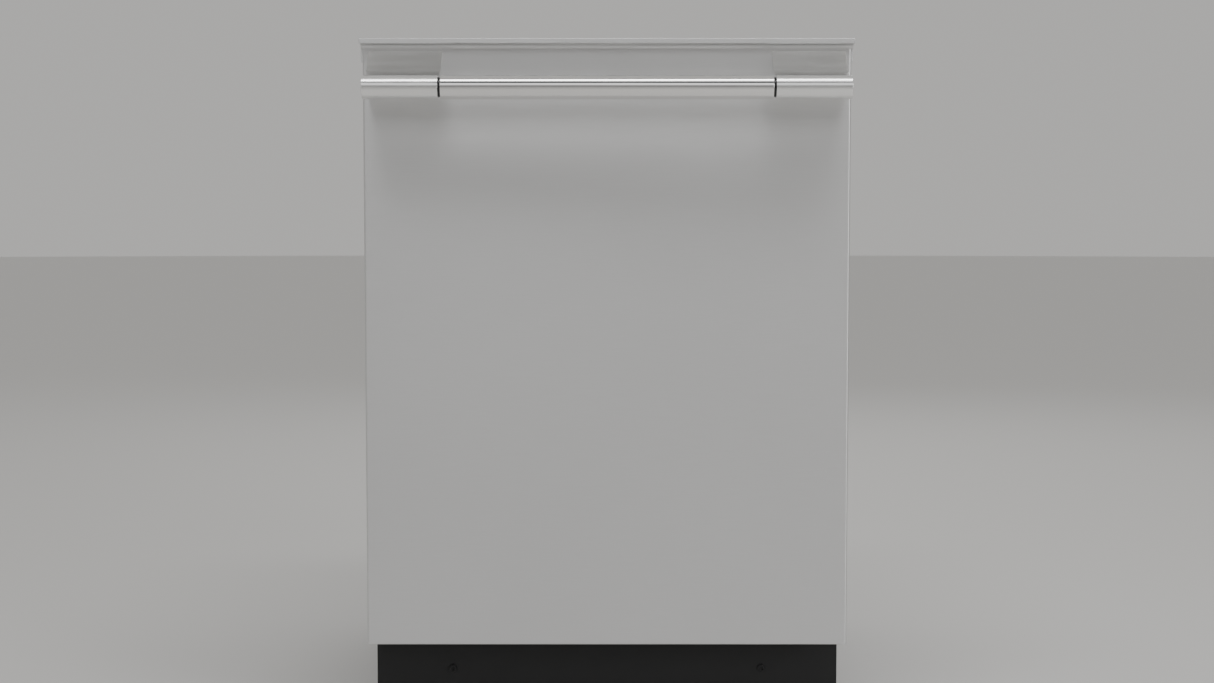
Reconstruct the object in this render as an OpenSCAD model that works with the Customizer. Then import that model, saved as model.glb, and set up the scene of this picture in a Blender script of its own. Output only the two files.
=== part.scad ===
// Built-in dishwasher with a full-width steel door, a lip along its top edge and a tubular handle.
// X is across the machine, +Y is towards its back, +Z is up and Z = 0 is the floor.
// Depths inside the modules are counted from the outer face of the closed door.

/* [Door] */
// Width of the steel door panel
door_w = 602; // [598:1:604]
// Height of the door from its lower edge to the top of its lip
door_h = 753; // [750:1:753]
// Depth of the closed door, outer face to inner face
door_t = 60; // [58:1:60]
// Height of the door's lower edge above the floor
door_bottom = 108; // [106:1:108]
// How far the lip stands out in front of the door
lip_out = 20; // [14:1:24]
// Height of the lip's front face
lip_h = 6; // [4:1:8]

/* [Handle] */
// Outer diameter of the handle tube
handle_d = 29; // [24:1:32]
// Length of the whole handle, end to end
handle_w = 588; // [560:1:596]
// Length of the polished middle part
handle_mid_w = 400; // [340:1:440]
// Centre of the tube in front of the door face
handle_out = 54; // [46:1:58]
// Centre of the tube below the top of the lip
handle_drop = 62; // [58:1:70]

/* [Machine] */
// Overall height, floor to the top of the fixing tabs
machine_h = 864; // [864:1:868]
// Depth from the door face to the ends of the water ports
machine_d = 610; // [608:1:620]
// Clear width inside the tub
tub_w = 544; // [540:1:544]
// Clear depth inside the tub
tub_d = 522.8; // [520:0.1:524]
// Thickness of the tub's steel sheet
sheet = 1.2; // [1:0.1:1.5]

/* [Racks] */
// Thickness of the rack wires
wire = 4; // [3:0.5:5]
// Diameter of the lower rack's wheels
wheel_d = 36; // [32:1:36]
// Length of the lower spray arm, tip to tip
lower_arm_len = 456; // [400:2:458]
// Length of the upper spray arm, tip to tip
upper_arm_len = 436; // [380:2:440]

/* [Hidden] */
lip_top = door_bottom + door_h;
panel_top = lip_top - lip_h;
handle_r = handle_d / 2;
handle_z = lip_top - handle_drop;
hinge_f = 30;
hinge_z = door_bottom + 15;
tub_floor = hinge_z + door_t - hinge_f;
tub_top = tub_floor + 689;
tub_front = door_t + 6;
tub_back = tub_front + tub_d;
tub_mid = 330;
inner_w = 570;
inner_top = 834;
front_y = -(machine_d - handle_out - handle_r) / 2;
pin_r = 4;
run_gap = 0.06;
leg_x = 255;
leg_front = 110;
leg_rear = 560;
filter_x = 72;
rack_front = 92;
rack_back = 560;
lower_rack_z = 200;
upper_rack_z = 530;
third_rack_z = 752;
wheel_z = tub_floor + 0.3 + wheel_d / 2;
wheel_front = 190;
wheel_rear = 470;
button_f = 32;
button_x = [-200, 120, 160, 200];
cup_w = 70;
dispenser_z = 540;
port_z = 70;
drain_x = 200;
inlet_x = -215;
inlet_z = 90;
cable_x = -172;
cable_z = 60;

// Puts depths counted from the door face into the machine's frame
module placed() translate([0, front_y, 0]) children();

// A box from its low corner to its high corner
module block(low, high) translate(low) cube(high - low);

// The same shape on the left and on the right
module both_sides() {
    children();
    mirror([1, 0, 0]) children();
}

// A shape drawn as depth and height, carried across the machine from x0 to x1
module across(x0, x1) translate([x0, 0, 0]) rotate([90, 0, 90]) linear_extrude(x1 - x0) children();

// A round bar along X or Y or Z that starts at the point given
module bar_x(p, r, len) translate(p) rotate([0, 90, 0]) cylinder(r = r, h = len, $fn = 64);
module bar_y(p, r, len) translate(p) rotate([-90, 0, 0]) cylinder(r = r, h = len, $fn = 64);
module bar_z(p, r, len) translate(p) cylinder(r = r, h = len, $fn = 64);

// Points of an arc round c, from angle a0 to angle a1
function arc(c, r, a0, a1, n) = [for (i = [0:n]) let (a = a0 + (a1 - a0) * i / n)
    [c[0] + r * cos(a), c[1] + r * sin(a)]];

// A flat grille of wires: w by h, with nx wires upright and ny across
module grille(w, h, nx, ny) {
    for (i = [0:nx - 1]) translate([i * (w - wire) / (nx - 1), 0]) square([wire, h]);
    for (j = [0:ny - 1]) translate([0, j * (h - wire) / (ny - 1)]) square([w, wire]);
}

// A wire rack: a floor and four walls, each a flat grille
module wire_rack(half_w, f0, f1, z0, wall_h, nx, ny) {
    gap = 0.2;
    wall_z = z0 + wire + gap;
    side_l = f1 - f0 - 2 * (wire + gap);
    translate([-half_w, f0, z0]) linear_extrude(wire) grille(2 * half_w, f1 - f0, nx, ny);
    for (f = [f0, f1 - wire])
        translate([-half_w, f + wire, wall_z]) rotate([90, 0, 0]) linear_extrude(wire)
            grille(2 * half_w, wall_h, nx, 3);
    both_sides() translate([half_w - wire, f0 + wire + gap, wall_z]) rotate([90, 0, 90])
        linear_extrude(wire) grille(side_l, wall_h, ny, 3);
}

// ---- Door, outside ----

module door_skin() color("silver") placed() {
    r = 3;
    half = door_w / 2;
    deep = 25;
    difference() {
        translate([0, 0, door_bottom]) linear_extrude(panel_top - door_bottom)
            polygon(concat([[-half, deep]], arc([r - half, r], r, 180, 270, 5),
                arc([half - r, r], r, 270, 360, 5), [[half, deep]]));
        translate([0, 0, door_bottom + sheet]) linear_extrude(door_h)
            polygon(concat([[sheet - half, deep + 1]], arc([r - half, r], r - sheet, 180, 270, 5),
                arc([half - r, r], r - sheet, 270, 360, 5), [[half - sheet, deep + 1]]));
    }
}

module top_trim() color("gainsboro") placed() {
    cove = 5;
    across(-303, 303)
        polygon(concat([[4, lip_top], [-lip_out, lip_top], [-lip_out, panel_top]],
            arc([-cove, panel_top - cove], cove, 90, 0, 6), [[0, panel_top], [4, panel_top]]));
    block([-door_w / 2 + 4, sheet, inner_top], [door_w / 2 - 4, 4, panel_top]);
}

module handle_tube() color("whitesmoke") placed()
    bar_x([-handle_mid_w / 2, -handle_out, handle_z], handle_r, handle_mid_w);

module handle_spacers() color("black") placed()
    both_sides() bar_x([handle_mid_w / 2, -handle_out, handle_z], handle_r - 2, 2.8);

// One end of the handle: the tube's end section and the coved arm that carries it
module handle_end() {
    cove_r = 60;
    c = [-handle_out, handle_z];
    top = [-handle_out, handle_z + handle_r + cove_r];
    across(handle_mid_w / 2 + 2.8, handle_w / 2)
        polygon(concat(arc(c, handle_r, 90, 270, 24), [[0, handle_z - 6]],
            arc(top, cove_r, -asin((cove_r ^ 2 - handle_out ^ 2) ^ 0.5 / cove_r), -86, 12)));
}

module handle_bracket_left() color("silver") placed() mirror([1, 0, 0]) handle_end();
module handle_bracket_right() color("silver") placed() handle_end();

// ---- Door, inside ----

module inner_door() color("lightgray") placed() {
    half = inner_w / 2;
    low = door_bottom + 2;
    difference() {
        block([-half, 26, low], [half, door_t, inner_top]);
        block([1 - half, 25, low + 1], [half - 1, door_t - 1, inner_top - 1]);
        block([-106, 50, dispenser_z - 56], [106, door_t + 1, dispenser_z + 56]);
    }
}

module door_insulation() color("darkgray") placed()
    block([-280, 3, door_bottom + 20], [280, 20, inner_top - 60]);

module control_fascia() color("dimgray") placed() {
    half = inner_w / 2;
    wall = 2.5;
    difference() {
        block([-half, 4, inner_top], [half, door_t, lip_top]);
        block([wall - half, 4 + wall, inner_top - 1], [half - wall, door_t - wall, lip_top - wall]);
        for (x = button_x)
            block([x - 12, button_f - 6.5, lip_top - 4], [x + 12, button_f + 6.5, lip_top + 1]);
        block([-13, door_t - 4, lip_top - 7.8], [13, door_t + 1, lip_top - wall]);
    }
}

module button(x) color("black") placed()
    block([x - 11.7, button_f - 6.2, lip_top - 10], [x + 11.7, button_f + 6.2, lip_top + 0.4]);
module button_power() button(button_x[0]);
module button_program() button(button_x[1]);
module button_option() button(button_x[2]);
module button_start() button(button_x[3]);

module door_latch() color("gray") placed() difference() {
    block([-24, 32, inner_top + 6], [24, door_t - 2.5, lip_top - 2.5]);
    block([-11, 44, lip_top - 8], [11, door_t, lip_top - 2]);
}

module door_strike() color("silver") placed()
    block([-9, 47, lip_top - 6.5], [9, tub_front + sheet, lip_top - 4]);

module dispenser_body() color("slategray") placed() {
    half = 105;
    face = door_t + 2;
    difference() {
        union() {
            block([-half, 33, dispenser_z - 55], [half, face, dispenser_z + 55]);
            for (z = [dispenser_z - 47, dispenser_z + 44])
                block([-half, face, z], [42, face + 4, z + 3]);
        }
        block([-30, 38, dispenser_z - 35], [cup_w - 30, face + 1, dispenser_z + 35]);
        bar_y([75, 50, dispenser_z], 10 + run_gap, 20);
    }
}

module dispenser_lid() color("lightgray") placed() {
    face = door_t + 2.3;
    block([-33, face, dispenser_z - 43.6], [cup_w - 29, face + 2.5, dispenser_z + 43.6]);
    block([cup_w - 42, face + 2.5, dispenser_z - 20], [cup_w - 36, face + 5, dispenser_z + 20]);
}

module rinse_aid_cap() color("black") placed() {
    face = door_t + 2.3;
    bar_y([75, 52, dispenser_z], 10, face - 52);
    bar_y([75, face, dispenser_z], 21, 3);
    block([72, face + 3, dispenser_z - 17], [78, face + 6, dispenser_z + 17]);
}

module door_seal() color("black") placed()
    block([-236, door_t, hinge_z - 5], [236, door_t + 4, hinge_z + 9]);

// ---- Hinges ----

module hinge_arms() color("darkgray") placed() both_sides() difference() {
    block([inner_w / 2, 22, door_bottom + 4], [inner_w / 2 + 3, 52, 300]);
    bar_x([inner_w / 2 - 1, hinge_f, hinge_z], pin_r + run_gap, 5);
}

module hinge_pins() color("silver") placed() both_sides()
    bar_x([inner_w / 2 + 0.4, hinge_f, hinge_z], pin_r, 9.6);

module hinge_brackets() color("gray") placed() both_sides() difference() {
    union() {
        bar_x([290, hinge_f, hinge_z], 7, 3);
        block([290, hinge_f, hinge_z - 3.5], [293, 150, hinge_z + 6.5]);
    }
    bar_x([289, hinge_f, hinge_z], pin_r, 5);
}

module door_springs() color("gray") placed() both_sides() {
    bar_y([276, 190, 90], 8, 220);
    bar_y([276, 410, 90], 2, 179.8);
}

// ---- Tub and casing ----

// Outline of the tub's section, grown outwards by g
module tub_section(g) {
    half = tub_w / 2;
    low_r = 8;
    top_r = 28;
    polygon(concat(arc([low_r - half, tub_floor + low_r], low_r + g, 180, 270, 4),
        arc([half - low_r, tub_floor + low_r], low_r + g, 270, 360, 4),
        arc([half - top_r, tub_top - top_r], top_r + g, 0, 90, 6),
        arc([top_r - half, tub_top - top_r], top_r + g, 90, 180, 6)));
}

// A section drawn as width and height, carried from the depth f0 to the depth f1
module rearward(f0, f1) translate([0, f1, 0]) rotate([90, 0, 0]) linear_extrude(f1 - f0) children();

module tub() color("lightgray") placed() {
    half = tub_w / 2;
    difference() {
        union() {
            rearward(tub_front, tub_back + sheet) tub_section(sheet);
            block([-half - 12, tub_front, tub_floor - 12],
                [half + 12, tub_front + sheet, tub_top + 11]);
        }
        rearward(tub_front - 1, tub_back) tub_section(0);
        bar_z([0, tub_mid, tub_floor - 5], 125, 10);
        for (x = [-53, 53]) bar_z([x, tub_mid + 198, tub_floor - 5], 4.2, 10);
        bar_z([-205, 115, tub_floor - 5], 4.4, 10);
    }
}

module tub_gasket() color("black") placed() rearward(door_t + 0.4, tub_front) difference() {
    translate([-283, tub_floor + 8]) square([566, tub_top + 10.5 - tub_floor - 8]);
    translate([-274, tub_floor]) square([548, tub_top + 1.5 - tub_floor]);
}

module insulation_blanket() color("gray") placed() difference() {
    block([-290, 96, tub_floor + 17], [290, 606, tub_top + 14]);
    rearward(95, tub_back + sheet + 0.3) tub_section(sheet + 0.3);
    block([-272, 95, tub_floor], [272, tub_back + 1, tub_floor + 60]);
}

module front_frame() color("silver") placed() {
    f = tub_front + sheet;
    low = hinge_z + 9;
    top = machine_h - 6;
    difference() {
        block([-299, f, low], [299, 95, top]);
        block([-297.5, f + 1.5, low - 1], [297.5, 96, top - 1.5]);
        rearward(f - 1, 96) tub_section(sheet + 0.3);
    }
}

module mounting_brackets() color("silver") placed() both_sides() difference() {
    union() {
        block([180, 40, machine_h - 1.5], [220, 92, machine_h]);
        block([180, 80, machine_h - 6], [220, 92, machine_h - 1.5]);
    }
    bar_z([200, 52, machine_h - 4], 2.75, 6);
}

// The base is made of bent sheets that meet with a weld gap: a pan, two sides, a back, a front
// rail and two beams under the tub
module base_frame() color("dimgray") placed() {
    front = 76;
    back = 593;
    top = tub_floor + 15;
    wall = 3;
    weld = 0.2;
    low = 30 + wall + weld;
    beam_low = tub_floor - sheet - 10;
    difference() {
        union() {
            block([-290, front, 30], [290, back, 30 + wall]);
            for (x = [-leg_x, leg_x], f = [leg_front, leg_rear]) bar_z([x, f, 31], 14, 31);
        }
        for (x = [-leg_x, leg_x], f = [leg_front, leg_rear]) bar_z([x, f, 29], 5 + run_gap, 34);
    }
    both_sides() block([290 - wall, front, low], [290, back - wall - weld, top]);
    block([weld + wall - 290, front, low], [290 - wall - weld, front + wall, beam_low]);
    for (f = [130, 572])
        block([weld + wall - 290, f, beam_low], [290 - wall - weld, f + 14, tub_floor - sheet]);
    difference() {
        block([-290, back - wall, low], [290, back, top]);
        bar_y([drain_x, back - 5, port_z], 13, 8);
        bar_y([inlet_x, back - 5, inlet_z], 18, 8);
        bar_y([cable_x, back - 5, cable_z], 14, 8);
    }
}

module kickplate() color("black") placed() {
    f = 72;
    block([-298, f, 10], [298, f + 1.5, 104]);
    both_sides() {
        block([296.5, f + 1.5, 10], [298, 92, 104]);
        bar_y([200, f + 1.5, 60], 8, 2.5);
    }
}

module leg(x, f) color("dimgray") placed() {
    bar_z([x, f, 0], 19, 8);
    bar_z([x, f, 8], 5, 58);
    translate([x, f, 22]) cylinder(r = 11, h = 7.6, $fn = 6);
}
module leg_front_left() leg(-leg_x, leg_front);
module leg_front_right() leg(leg_x, leg_front);
module leg_rear_left() leg(-leg_x, leg_rear);
module leg_rear_right() leg(leg_x, leg_rear);

// ---- Water system ----

module sump() color("dimgray") placed() {
    under = tub_floor - sheet;
    difference() {
        union() {
            bar_z([0, tub_mid, 70], 122, under - 70);
            bar_z([0, tub_mid, under - 3], 135, 3);
        }
        bar_z([0, tub_mid, 73], 119, 90);
    }
    difference() {
        bar_z([0, tub_mid, 72], 14, 122);
        bar_z([0, tub_mid, 80], 10, 120);
    }
}

module filter_plate() color("silver") placed() difference() {
    bar_z([0, tub_mid, tub_floor], 140, 2);
    bar_z([0, tub_mid, tub_floor - 1], 14.4, 4);
    bar_z([filter_x, tub_mid, tub_floor - 1], 38.4, 4);
}

module filter_cylinder() color("lightgray") placed() {
    difference() {
        union() {
            bar_z([filter_x, tub_mid, 92], 38, tub_floor - 89);
            bar_z([filter_x, tub_mid, tub_floor + 2.3], 42, 3);
        }
        bar_z([filter_x, tub_mid, 91], 35, tub_floor - 91);
    }
    translate([filter_x, tub_mid, tub_floor + 5]) for (a = [0, 90])
        rotate([0, 0, a]) translate([-26, -2.5, 0]) cube([52, 5, 12]);
}

module circulation_pump() color("slategray") placed() {
    f = 512;
    bar_x([-150, f, 86], 40, 170);
    bar_x([20, f, 86], 50, 30);
    bar_y([35, 446, 104], 16, 30);
}

module drain_pump() color("gray") placed() {
    bar_y([110, 455, port_z], 28, 80);
    bar_y([110, 382, port_z + 12], 10, 80);
}

module drain_hose() color("gray") placed() {
    r = 8;
    bend = 20;
    f = 500;
    collar = 588;
    bar_x([137, f, port_z], r, drain_x - bend - 137);
    translate([drain_x - bend, f + bend, port_z]) rotate([0, 0, -90])
        rotate_extrude(angle = 90, $fn = 64) translate([bend, 0]) circle(r = r, $fn = 48);
    bar_y([drain_x, f + bend, port_z], r, collar - f - bend);
    bar_y([drain_x, collar, port_z], 12, 2);
    bar_y([drain_x, collar + 2, port_z], 9.5, machine_d - collar - 2);
}

module inlet_valve() color("whitesmoke") placed() {
    face = 590;
    block([inlet_x - 25, 528, inlet_z - 20], [inlet_x + 25, face, inlet_z + 20]);
    bar_y([inlet_x, face, inlet_z], 13.2, machine_d - face);
    bar_z([inlet_x, 552, inlet_z + 20], 12, 34);
}

module junction_box() color("silver") placed() {
    x0 = cable_x - 35;
    x1 = cable_x + 35;
    wall = 1.5;
    difference() {
        union() {
            block([x0, 100, 33], [x1, 170, 87]);
            bar_y([cable_x, 170, cable_z], 15, 12);
        }
        block([x0 + wall, 100 + wall, 33 + wall], [x1 - wall, 170 - wall, 87 - wall]);
        bar_y([cable_x, 165, cable_z], 11, 20);
    }
}

module heating_element() color("darkgray") placed() {
    z = tub_floor + 10;
    ring_r = 205;
    end = atan(53 / 198);
    translate([0, tub_mid, z]) rotate([0, 0, 90 + end]) rotate_extrude(angle = 360 - 2 * end, $fn = 96)
        translate([ring_r, 0]) circle(r = 4, $fn = 32);
    for (x = [-53, 53]) bar_z([x, tub_mid + 198, 138], 4, z - 138);
}

module water_feed_tube() color("gray") placed() {
    back = tub_back;
    difference() {
        union() {
            block([-15, back - 16, tub_floor + 2.5], [15, back, tub_top - 0.5]);
            block([-15, tub_mid - 16, tub_top - 16], [15, back, tub_top - 0.5]);
            bar_y([0, rack_back + 2, upper_rack_z - 7], 11, back - rack_back - 10);
        }
        bar_y([0, rack_back, upper_rack_z - 7], 6, 12);
    }
    bar_z([0, tub_mid, tub_top - 38], 10, 24);
    bar_z([0, tub_mid, tub_top - 41], 15, 3);
}

// A spray arm that turns on a round stem: a slim hollow blade with a hub
module spray_arm(z, len, stem_r, thick) difference() {
    union() {
        bar_z([0, tub_mid, z], 32, thick);
        block([-len / 2, tub_mid - 20, z + 1], [len / 2, tub_mid + 20, z + thick - 1]);
    }
    bar_z([0, tub_mid, z - 1], stem_r + run_gap, thick + 2);
}

module lower_spray_arm() color("lightgray") placed()
    spray_arm(tub_floor + 24, lower_arm_len, 14, 15);
module upper_spray_arm() color("lightgray") placed()
    spray_arm(upper_rack_z - 29, upper_arm_len, 11, 12);
module ceiling_spray_arm() color("lightgray") placed()
    spray_arm(tub_top - 37, 240, 10, 12);

module float_cap() color("white") placed() {
    bar_z([-205, 115, 142], 4, 18);
    bar_z([-205, 115, 160], 20, 16);
}

// ---- Racks ----

// A C-shaped rail that opens inwards, fixed to the tub's side
module side_rail(x0, z0, high) {
    half = tub_w / 2;
    wall = 1.5;
    difference() {
        block([x0, 84, z0], [half - 0.1, rack_back, z0 + high]);
        block([x0 - 1, 83, z0 + wall], [half - 0.1 - wall, rack_back + 1, z0 + high - wall]);
    }
}

module rack_rails() color("silver") placed() both_sides() {
    side_rail(256, upper_rack_z + 50, 26);
    side_rail(260, third_rack_z + 18, 18);
}

module upper_rack_slides() color("gray") placed() both_sides()
    block([258, 86, upper_rack_z + 52], [269, 556, upper_rack_z + 74]);

module upper_rack() color("lightgray") placed() {
    wire_rack(248, rack_front, rack_back, upper_rack_z, 116, 6, 6);
    both_sides() block([248.2, 110, upper_rack_z + 56], [255.4, 540, upper_rack_z + 70]);
}

module upper_rack_manifold() color("gray") placed() {
    block([-11, tub_mid - 13, upper_rack_z - 13], [11, rack_back - 0.5, upper_rack_z - 1]);
    bar_z([0, tub_mid, upper_rack_z - 32], 11, 20);
    bar_z([0, tub_mid, upper_rack_z - 35], 15, 3);
}

// Fold-up shelf for cups, hinged on the rack's side wall
module cup_shelf() {
    x0 = 144;
    pivot_x = 241.5;
    z = upper_rack_z + 110;
    translate([x0, 150, z]) linear_extrude(wire) grille(pivot_x - x0, 330, 3, 5);
    bar_y([pivot_x, 150, z + wire / 2], wire / 2, 330);
}
module cup_shelf_left() color("gray") placed() mirror([1, 0, 0]) cup_shelf();
module cup_shelf_right() color("gray") placed() cup_shelf();

module third_rack() color("lightgray") placed() {
    wire_rack(250, rack_front, 540, third_rack_z, 26, 6, 5);
    both_sides() block([250.2, 110, third_rack_z + 21], [268, 520, third_rack_z + 33]);
}

module lower_rack() color("lightgray") placed() {
    wire_rack(240, rack_front, rack_back, lower_rack_z, 126, 6, 6);
    both_sides() for (f = [wheel_front, wheel_rear]) {
        block([236, f - 12, wheel_z - 8], [242, f + 12, lower_rack_z - 0.2]);
        bar_x([242, f, wheel_z], 3, 18);
    }
}

// Two wheels on one axle line under the lower rack
module wheel_pair(f) color("dimgray") placed() both_sides() difference() {
    bar_x([246, f, wheel_z], wheel_d / 2, 12);
    bar_x([245, f, wheel_z], 3 + run_gap, 14);
}
module lower_rack_wheels_front() wheel_pair(wheel_front);
module lower_rack_wheels_rear() wheel_pair(wheel_rear);

module cutlery_basket() color("gray") placed() {
    half = 112;
    f0 = 104;
    f1 = 164;
    low = lower_rack_z + wire + 0.5;
    top = low + 125;
    wall = 2;
    cell = (2 * half - 4 * wall) / 3;
    difference() {
        block([-half, f0, low], [half, f1, top]);
        for (i = [0:2]) translate([wall - half + i * (cell + wall), 0, 0])
            block([0, f0 + wall, low + wall], [cell, f1 - wall, top + 1]);
    }
}

module folding_tines() color("lightgray") placed() {
    f = 400;
    z = lower_rack_z + 12;
    bar_x([-214, f, z], 2.5, 428);
    for (i = [0:9]) bar_z([-207 + i * 46, f, z], 2, 84);
}

door_skin();
top_trim();
handle_tube();
handle_spacers();
handle_bracket_left();
handle_bracket_right();
inner_door();
door_insulation();
control_fascia();
button_power();
button_program();
button_option();
button_start();
door_latch();
dispenser_body();
dispenser_lid();
rinse_aid_cap();
door_seal();
hinge_arms();
hinge_pins();
hinge_brackets();
door_springs();
door_strike();
tub();
tub_gasket();
insulation_blanket();
front_frame();
mounting_brackets();
base_frame();
kickplate();
leg_front_left();
leg_front_right();
leg_rear_left();
leg_rear_right();
sump();
filter_plate();
filter_cylinder();
circulation_pump();
drain_pump();
drain_hose();
inlet_valve();
junction_box();
heating_element();
water_feed_tube();
lower_spray_arm();
upper_spray_arm();
ceiling_spray_arm();
float_cap();
rack_rails();
upper_rack_slides();
upper_rack();
upper_rack_manifold();
cup_shelf_left();
cup_shelf_right();
third_rack();
lower_rack();
lower_rack_wheels_front();
lower_rack_wheels_rear();
cutlery_basket();
folding_tines();
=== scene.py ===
import math

import bmesh
import bpy
from mathutils import Matrix, Vector


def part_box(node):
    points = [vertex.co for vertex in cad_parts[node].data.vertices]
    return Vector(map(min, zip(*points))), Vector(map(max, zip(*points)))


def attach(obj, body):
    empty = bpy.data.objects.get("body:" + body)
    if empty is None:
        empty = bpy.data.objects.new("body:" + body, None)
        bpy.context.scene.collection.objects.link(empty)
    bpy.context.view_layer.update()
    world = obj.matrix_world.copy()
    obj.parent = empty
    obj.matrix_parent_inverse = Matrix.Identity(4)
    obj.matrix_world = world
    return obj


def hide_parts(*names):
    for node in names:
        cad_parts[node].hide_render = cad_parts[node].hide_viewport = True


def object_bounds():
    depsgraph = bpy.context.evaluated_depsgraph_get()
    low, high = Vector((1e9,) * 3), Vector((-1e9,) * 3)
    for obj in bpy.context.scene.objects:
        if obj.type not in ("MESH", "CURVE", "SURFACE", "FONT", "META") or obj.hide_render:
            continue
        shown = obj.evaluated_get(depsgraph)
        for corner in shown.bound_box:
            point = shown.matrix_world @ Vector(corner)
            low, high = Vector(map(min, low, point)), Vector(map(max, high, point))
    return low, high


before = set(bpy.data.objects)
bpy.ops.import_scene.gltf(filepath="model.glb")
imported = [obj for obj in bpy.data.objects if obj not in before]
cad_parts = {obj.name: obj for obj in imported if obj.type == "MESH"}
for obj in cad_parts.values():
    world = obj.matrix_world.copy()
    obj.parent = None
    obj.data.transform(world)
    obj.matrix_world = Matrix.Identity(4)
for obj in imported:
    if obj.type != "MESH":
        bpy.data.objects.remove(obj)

cad_low, cad_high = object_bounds()
mm = 0.001

# Photographic set: a pale seamless floor under a soft studio sky.
# Behind the machine the sky is one pale grey; in front it has soft level bands, so that the tube
# handle shows bright streaks with darker steel between them.


def linear(hex_colour):
    """An sRGB hex colour as linear red, green, blue and alpha"""
    parts = [int(hex_colour[i:i + 2], 16) / 255 for i in (1, 3, 5)]
    return [p / 12.92 if p <= 0.04045 else ((p + 0.055) / 1.055) ** 2.4 for p in parts] + [1]


def add(owner, kind, settings, links):
    """Adds a shader node, gives it its settings and links its inputs"""
    made = owner.node_tree.nodes.new(kind)
    for key, value in settings.items():
        if isinstance(key, int) or key in made.inputs:
            made.inputs[key].default_value = value
        else:
            setattr(made, key, value)
    for key, source in links.items():
        owner.node_tree.links.new(source, made.inputs[key])
    return made


def stock(name, **sockets):
    """A new material and its shader, with the shader's sockets set"""
    material = bpy.data.materials.new(name)
    material.use_nodes = True
    shader = material.node_tree.nodes["Principled BSDF"]
    for key, value in sockets.items():
        shader.inputs[key.replace("_", " ")].default_value = value
    return material, shader


def feed(material, shader, **sources):
    """Links node outputs to the shader's sockets"""
    for key, source in sources.items():
        material.node_tree.links.new(source, shader.inputs[key.replace("_", " ")])


floor_reach = 40
bpy.ops.object.select_all(action="DESELECT")
bpy.ops.mesh.primitive_circle_add(vertices=96, radius=floor_reach, fill_type="NGON")
studio_floor = bpy.context.object
studio_floor.name = "studio_floor"
floor_paint, floor_shader = stock("pale_studio_floor", Roughness=0.6)
floor_shader.inputs["Base Color"].default_value = linear("#D6D5D3")
studio_floor.data.materials.append(floor_paint)

sky = bpy.data.worlds.new("studio_sky")
bpy.context.scene.world = sky
sky.use_nodes = True
sky_place = add(sky, "ShaderNodeTexCoord", {}, {})
sky_split = add(sky, "ShaderNodeSeparateXYZ", {}, {"Vector": sky_place.outputs["Generated"]})
sky_ramp = add(sky, "ShaderNodeValToRGB", {}, {"Fac": sky_split.outputs["Z"]})
sky_bands = sky_ramp.color_ramp.elements
sky_bands[0].color = linear("#767676")
sky_bands[1].color = linear("#FFFFFF")
for height, tone in ((0.24, "#8E8D8B"), (0.32, "#F4F4F4"), (0.56, "#F4F4F4"), (0.61, "#2A2A2A"),
                     (0.74, "#2A2A2A"), (0.80, "#FFFFFF")):
    sky_bands.new(height).color = linear(tone)
sky_front = add(sky, "ShaderNodeMapRange", {"From Min": -0.3, "From Max": -0.7},
                {"Value": sky_split.outputs["Y"]})
sky_mix = add(sky, "ShaderNodeMix", {"data_type": "RGBA", 6: linear("#A9A8A6")},
              {0: sky_front.outputs["Result"], 7: sky_ramp.outputs["Color"]})
sky_light = sky.node_tree.nodes["Background"]
sky_light.inputs["Strength"].default_value = 1.25
sky.node_tree.links.new(sky_mix.outputs[2], sky_light.inputs["Color"])

aim = Vector((0, cad_low.y, 0.5))
softboxes = {
    "right_softbox": ((2.6, -2.6, 1.3), 1.0, 1.6, 22),
    "overhead_softbox": ((0.2, -1.2, 3.0), 2.6, 0.5, 30),
    "rear_softbox": ((0.6, 3.4, 2.6), 2.4, 1.2, 20),
}
for name, (place, wide, tall, watts) in softboxes.items():
    lamp = bpy.data.lights.new(name, "AREA")
    lamp.shape = "RECTANGLE"
    lamp.size, lamp.size_y, lamp.energy = wide, tall, watts
    box = bpy.data.objects.new(name, lamp)
    bpy.context.scene.collection.objects.link(box)
    box.location = place
    box.rotation_euler = (aim - Vector(place)).to_track_quat("-Z", "Y").to_euler()

skin_low, skin_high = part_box("door_skin")
camera_away = 2.2
camera_above_sill = 0.521
camera_tip = math.radians(3.63)
lens_data = bpy.data.cameras.new("camera")
lens_data.lens = 52.6
camera = bpy.data.objects.new("camera", lens_data)
bpy.context.scene.collection.objects.link(camera)
camera.location = (0, skin_low.y - camera_away, skin_low.z + camera_above_sill)
camera.rotation_euler = (math.pi / 2 - camera_tip, 0, 0)
bpy.context.scene.camera = camera

# Door panel: 1.2 mm stainless sheet, brushed across its width and folded back along its edges.
# It is the only large surface that shows when the machine stands in its row of cabinets.


def cube(name, low, high):
    """A cube from its low corner to its high corner, with its place in its mesh"""
    low, high = Vector(low), Vector(high)
    bpy.ops.object.select_all(action="DESELECT")
    bpy.ops.mesh.primitive_cube_add(size=1, location=(low + high) / 2, scale=high - low)
    return settle(name)


def settle(name):
    """Names the active object and puts its place, turn and scale into its mesh"""
    piece = bpy.context.object
    piece.name = name
    bpy.ops.object.transform_apply(location=True, rotation=True, scale=True)
    return piece


def choose(piece, test, kind="faces"):
    """Opens the piece in edit mode with the faces or edges selected that pass the test"""
    bpy.ops.object.select_all(action="DESELECT")
    bpy.context.view_layer.objects.active = piece
    piece.select_set(True)
    bpy.ops.object.mode_set(mode="EDIT")
    bpy.ops.mesh.select_mode(type="FACE" if kind == "faces" else "EDGE")
    bpy.ops.mesh.select_all(action="DESELECT")
    mesh = bmesh.from_edit_mesh(piece.data)
    mesh.normal_update()
    if kind == "faces":
        for face in mesh.faces:
            face.select_set(test(face.calc_center_median(), face.normal))
    else:
        for edge in mesh.edges:
            a, b = edge.verts[0].co, edge.verts[1].co
            if test((a + b) / 2, (b - a).normalized()):
                edge.select_set(True)
    mesh.select_flush_mode()
    bmesh.update_edit_mesh(piece.data)


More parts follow.
